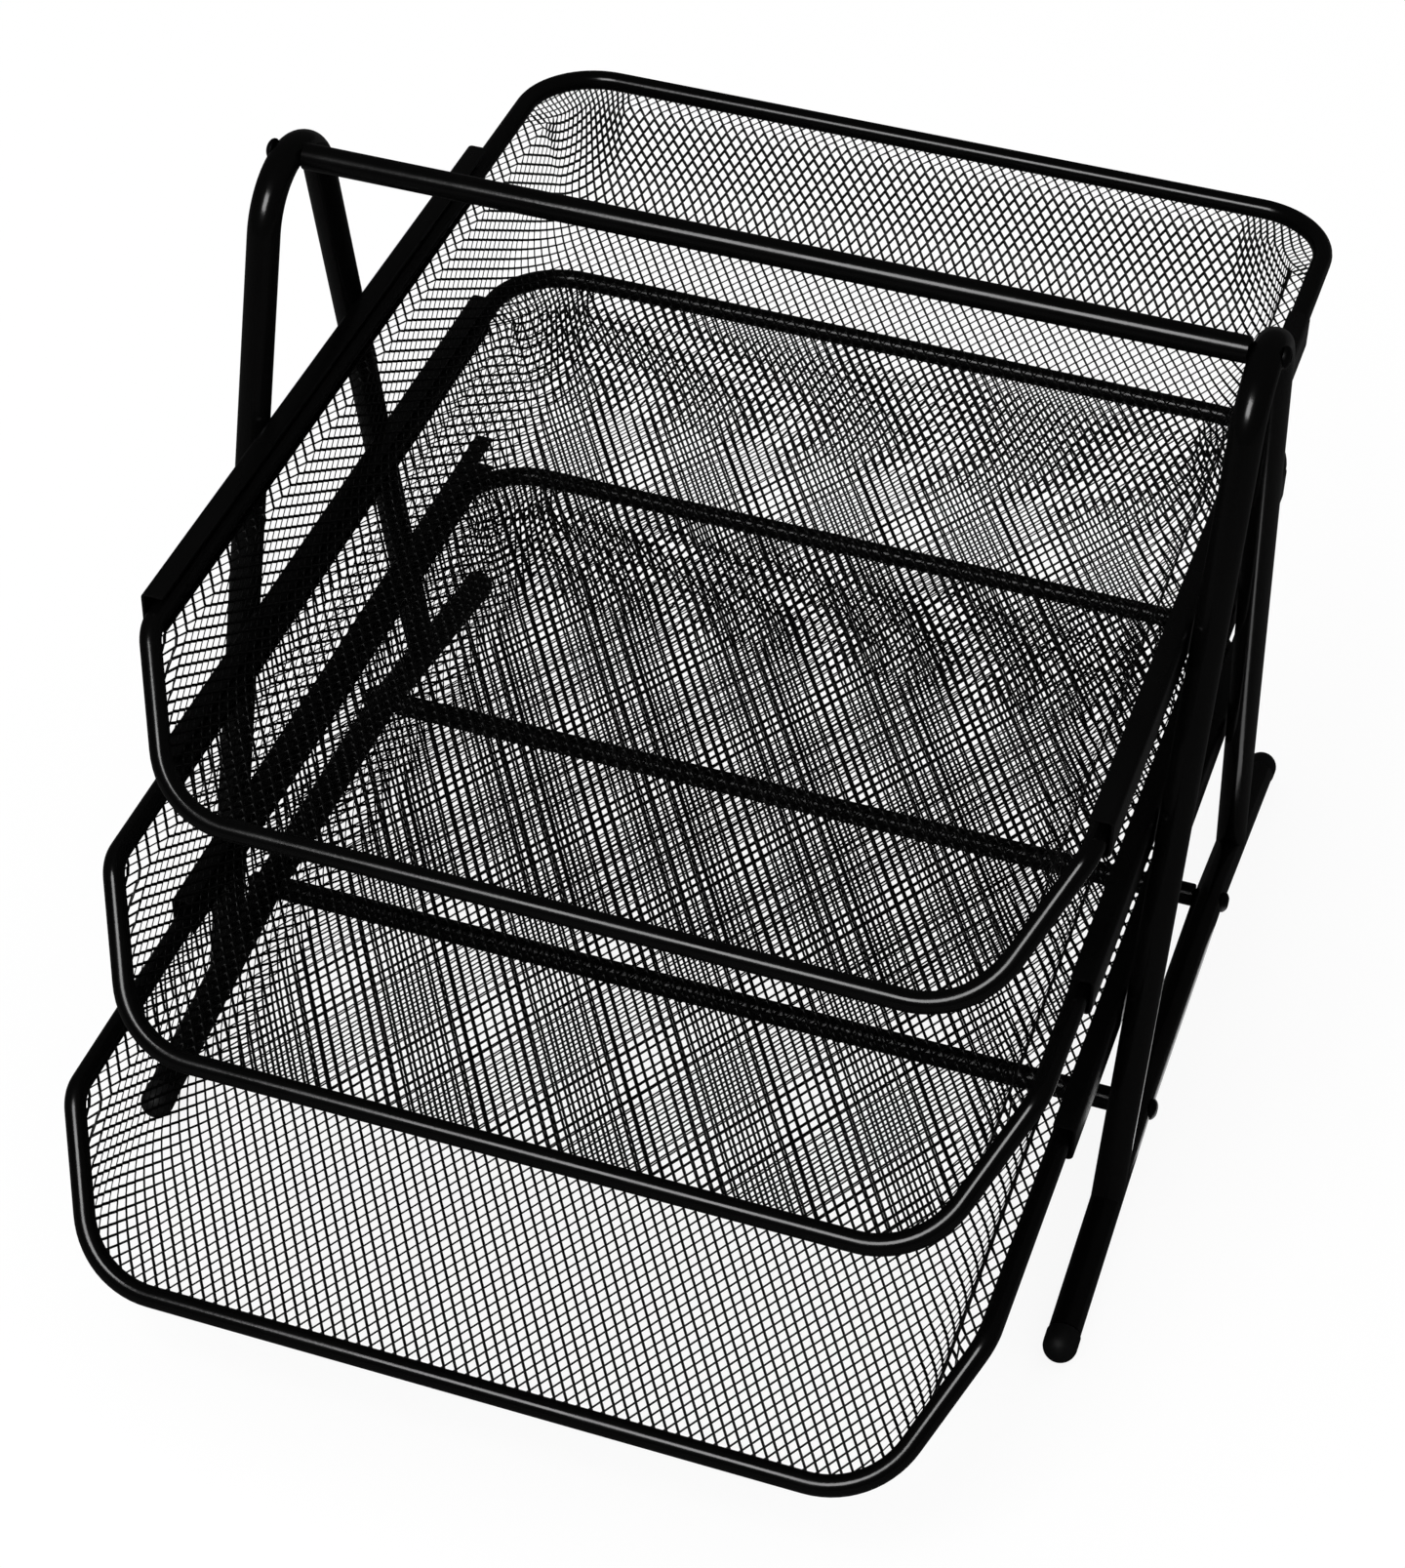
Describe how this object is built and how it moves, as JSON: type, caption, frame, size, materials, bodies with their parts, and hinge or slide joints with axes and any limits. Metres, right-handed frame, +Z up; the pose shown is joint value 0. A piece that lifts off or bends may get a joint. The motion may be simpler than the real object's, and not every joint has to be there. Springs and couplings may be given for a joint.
{
  "type": "desk organizer",
  "caption": "Desk organizer with wire-rimmed mesh letter trays sliding in rails between A-shaped tube side frames, tied by a handle bar and low cross bars.",
  "frame": {"origin": "on the desk plane, under the centre of the whole object's bounding box at rest", "axes": "+X to the right seen from the front, +Y to the rear, +Z up; the trays open and pull out to -Y"},
  "size_m": [0.3106, 0.4434, 0.278],
  "materials": {
    "paint": "gloss black",
    "rail": "gloss black",
    "rim": "gloss black",
    "mesh": "satin black",
    "cap": "matte black",
    "bolt": "satin black"
  },
  "bodies": {
    "frame": {"left_side_frame": "paint", "left_foot": "paint", "left_front_foot_cap": "cap", "left_rear_foot_cap": "cap", "left_handle_bolt": "bolt", "left_front_bar_bolt": "bolt", "left_rear_bar_bolt": "bolt", "left_rail_top": "rail", "left_rail_middle": "rail", "left_rail_bottom": "rail", "right_side_frame": "paint", "right_foot": "paint", "right_front_foot_cap": "cap", "right_rear_foot_cap": "cap", "right_handle_bolt": "bolt", "right_front_bar_bolt": "bolt", "right_rear_bar_bolt": "bolt", "right_rail_top": "rail", "right_rail_middle": "rail", "right_rail_bottom": "rail", "handle_bar": "paint", "front_cross_bar": "paint", "rear_cross_bar": "paint"},
    "tray_top": {"tray_top_mesh": "mesh", "tray_top_rim": "rim"},
    "tray_middle": {"tray_middle_mesh": "mesh", "tray_middle_rim": "rim"},
    "tray_bottom": {"tray_bottom_mesh": "mesh", "tray_bottom_rim": "rim"}
  },
  "joints": [
    {"name": "top_tray_slide", "type": "slide", "parent": "frame", "child": "tray_top", "axis": [0, -1, 0], "range_m": [0, 0.12]},
    {"name": "middle_tray_slide", "type": "slide", "parent": "frame", "child": "tray_middle", "axis": [0, -1, 0], "range_m": [-0.0355, 0.0845]},
    {"name": "bottom_tray_slide", "type": "slide", "parent": "frame", "child": "tray_bottom", "axis": [0, -1, 0], "range_m": [-0.073, 0.047]}
  ]
}
